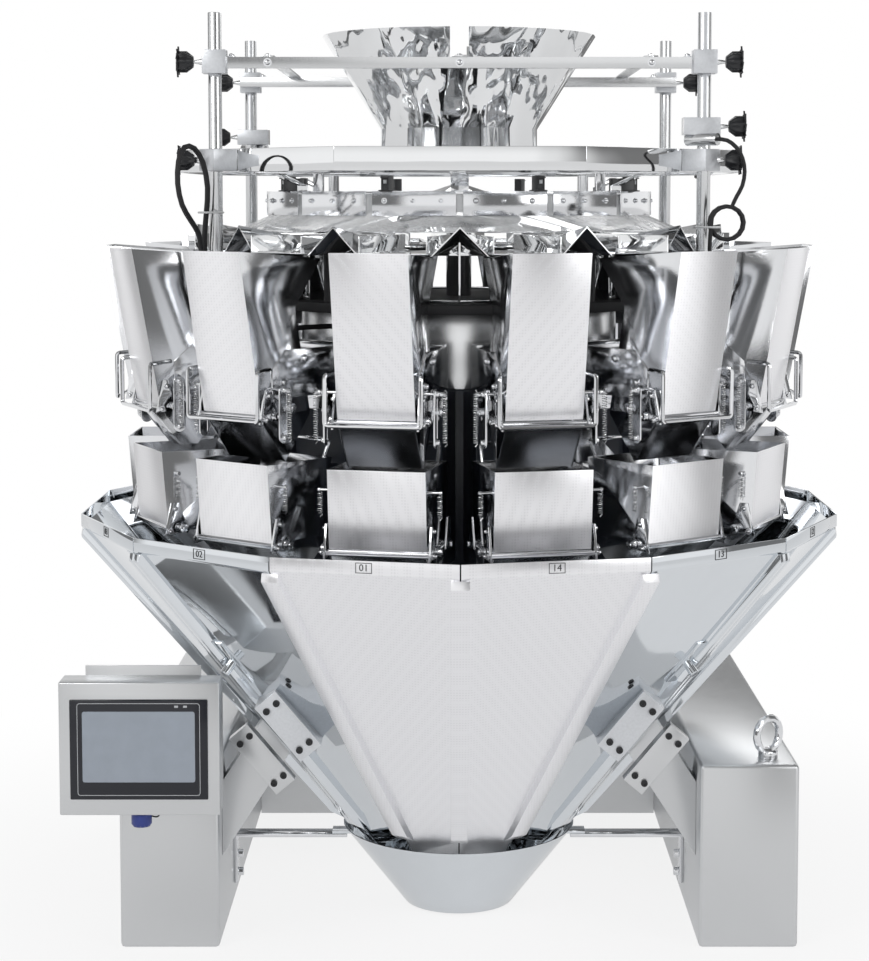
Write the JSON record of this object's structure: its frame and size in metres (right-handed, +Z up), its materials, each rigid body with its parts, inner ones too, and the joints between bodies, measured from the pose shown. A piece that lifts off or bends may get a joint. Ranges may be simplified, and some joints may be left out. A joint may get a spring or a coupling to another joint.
{
  "type": "multihead weigher",
  "caption": "Ring of vibrating feeders, feed hoppers and weigh hoppers round a tower, over a panelled discharge chute and outlet cone on a box base.",
  "frame": {"origin": "on the floor under the tower's axis, at the centre of the machine's footprint", "axes": "+Z up along the tower's axis; the operator stands at -Y with +X to the right"},
  "size_m": [1.1748, 1.1996, 1.408],
  "materials": {
    "brushed_steel": "satin brushed",
    "bright_steel": "bright",
    "mirror_steel": "mirror polished",
    "dimpled_steel": "fine dimpled sheet",
    "dark_housing": "dark grey powder coat",
    "panel_black": "gloss",
    "clear_film": "clear film",
    "lead_rubber": "matt"
  },
  "bodies": {
    "frame": {"base_box_left": "brushed_steel", "base_box_rear": "brushed_steel", "base_box_right": "brushed_steel", "chute_front": "dimpled_steel", "chute_left": "dimpled_steel", "chute_rear": "dimpled_steel", "chute_right": "dimpled_steel", "cone_arm_left": "bright_steel", "cone_arm_right": "bright_steel", "crossbar_front": "bright_steel", "crossbar_rear": "bright_steel", "curtain_film": "clear_film", "curtain_ring": "bright_steel", "dispersion_cone": "mirror_steel", "divider_roofs": "mirror_steel", "eyebolt_left": "bright_steel", "eyebolt_right": "bright_steel", "feeder_deck": "dark_housing", "feeder_pans": "mirror_steel", "guard_ring": "mirror_steel", "head_01": "bright_steel", "head_02": "bright_steel", "head_03": "bright_steel", "head_04": "bright_steel", "head_05": "bright_steel", "head_06": "bright_steel", "head_07": "bright_steel", "head_08": "bright_steel", "head_09": "bright_steel", "head_10": "bright_steel", "head_11": "bright_steel", "head_12": "bright_steel", "head_13": "bright_steel", "head_14": "bright_steel", "infeed_funnel": "mirror_steel", "leg_front_left": "brushed_steel", "leg_front_right": "brushed_steel", "leg_rear_left": "brushed_steel", "leg_rear_right": "brushed_steel", "outlet_cone": "dimpled_steel", "panel_bracket": "bright_steel", "panel_enclosure": "bright_steel", "panel_screen": "panel_black", "post_front_left": "bright_steel", "post_front_right": "bright_steel", "post_rear_left": "bright_steel", "post_rear_right": "bright_steel", "sensor_lead_left": "lead_rubber", "sensor_lead_right": "lead_rubber", "tower_drum": "mirror_steel", "tower_housing": "dark_housing"},
    "feed_gate_outer_01": {"feed_gate_outer_01": "bright_steel"},
    "feed_gate_inner_01": {"feed_gate_inner_01": "bright_steel"},
    "weigh_gate_outer_01": {"weigh_gate_outer_01": "bright_steel"},
    "weigh_gate_inner_01": {"weigh_gate_inner_01": "bright_steel"},
    "feed_gate_outer_14": {"feed_gate_outer_14": "bright_steel"},
    "feed_gate_inner_14": {"feed_gate_inner_14": "bright_steel"},
    "weigh_gate_outer_14": {"weigh_gate_outer_14": "bright_steel"},
    "weigh_gate_inner_14": {"weigh_gate_inner_14": "bright_steel"}
  },
  "joints": [
    {"name": "feed_gate_outer_01_hinge", "type": "hinge", "parent": "frame", "child": "feed_gate_outer_01", "pos_m": [-0.11504, -0.50404, 0.831], "axis": [-0.9749, 0.2225, 0], "range_deg": [0, 30]},
    {"name": "feed_gate_inner_01_hinge", "type": "hinge", "parent": "frame", "child": "feed_gate_inner_01", "pos_m": [-0.09235, -0.4046, 0.831], "axis": [-0.9749, 0.2225, 0], "range_deg": [-30, 0]},
    {"name": "weigh_gate_outer_01_hinge", "type": "hinge", "parent": "frame", "child": "weigh_gate_outer_01", "pos_m": [-0.11371, -0.49819, 0.65], "axis": [-0.9749, 0.2225, 0], "range_deg": [0, 45]},
    {"name": "weigh_gate_inner_01_hinge", "type": "hinge", "parent": "frame", "child": "weigh_gate_inner_01", "pos_m": [-0.08767, -0.38412, 0.65], "axis": [-0.9749, 0.2225, 0], "range_deg": [-45, 0]},
    {"name": "feed_gate_outer_14_hinge", "type": "hinge", "parent": "frame", "child": "feed_gate_outer_14", "pos_m": [0.11504, -0.50404, 0.831], "axis": [-0.9749, -0.2225, 0], "range_deg": [0, 30]},
    {"name": "feed_gate_inner_14_hinge", "type": "hinge", "parent": "frame", "child": "feed_gate_inner_14", "pos_m": [0.09235, -0.4046, 0.831], "axis": [-0.9749, -0.2225, 0], "range_deg": [-30, 0]},
    {"name": "weigh_gate_outer_14_hinge", "type": "hinge", "parent": "frame", "child": "weigh_gate_outer_14", "pos_m": [0.11371, -0.49819, 0.65], "axis": [-0.9749, -0.2225, 0], "range_deg": [0, 45]},
    {"name": "weigh_gate_inner_14_hinge", "type": "hinge", "parent": "frame", "child": "weigh_gate_inner_14", "pos_m": [0.08767, -0.38412, 0.65], "axis": [-0.9749, -0.2225, 0], "range_deg": [-45, 0]}
  ],
  "couplings": [
    {"joint": "feed_gate_inner_01_hinge", "follows": "feed_gate_outer_01_hinge", "ratio": -1},
    {"joint": "weigh_gate_inner_01_hinge", "follows": "weigh_gate_outer_01_hinge", "ratio": -1},
    {"joint": "feed_gate_inner_14_hinge", "follows": "feed_gate_outer_14_hinge", "ratio": -1},
    {"joint": "weigh_gate_inner_14_hinge", "follows": "weigh_gate_outer_14_hinge", "ratio": -1}
  ]
}
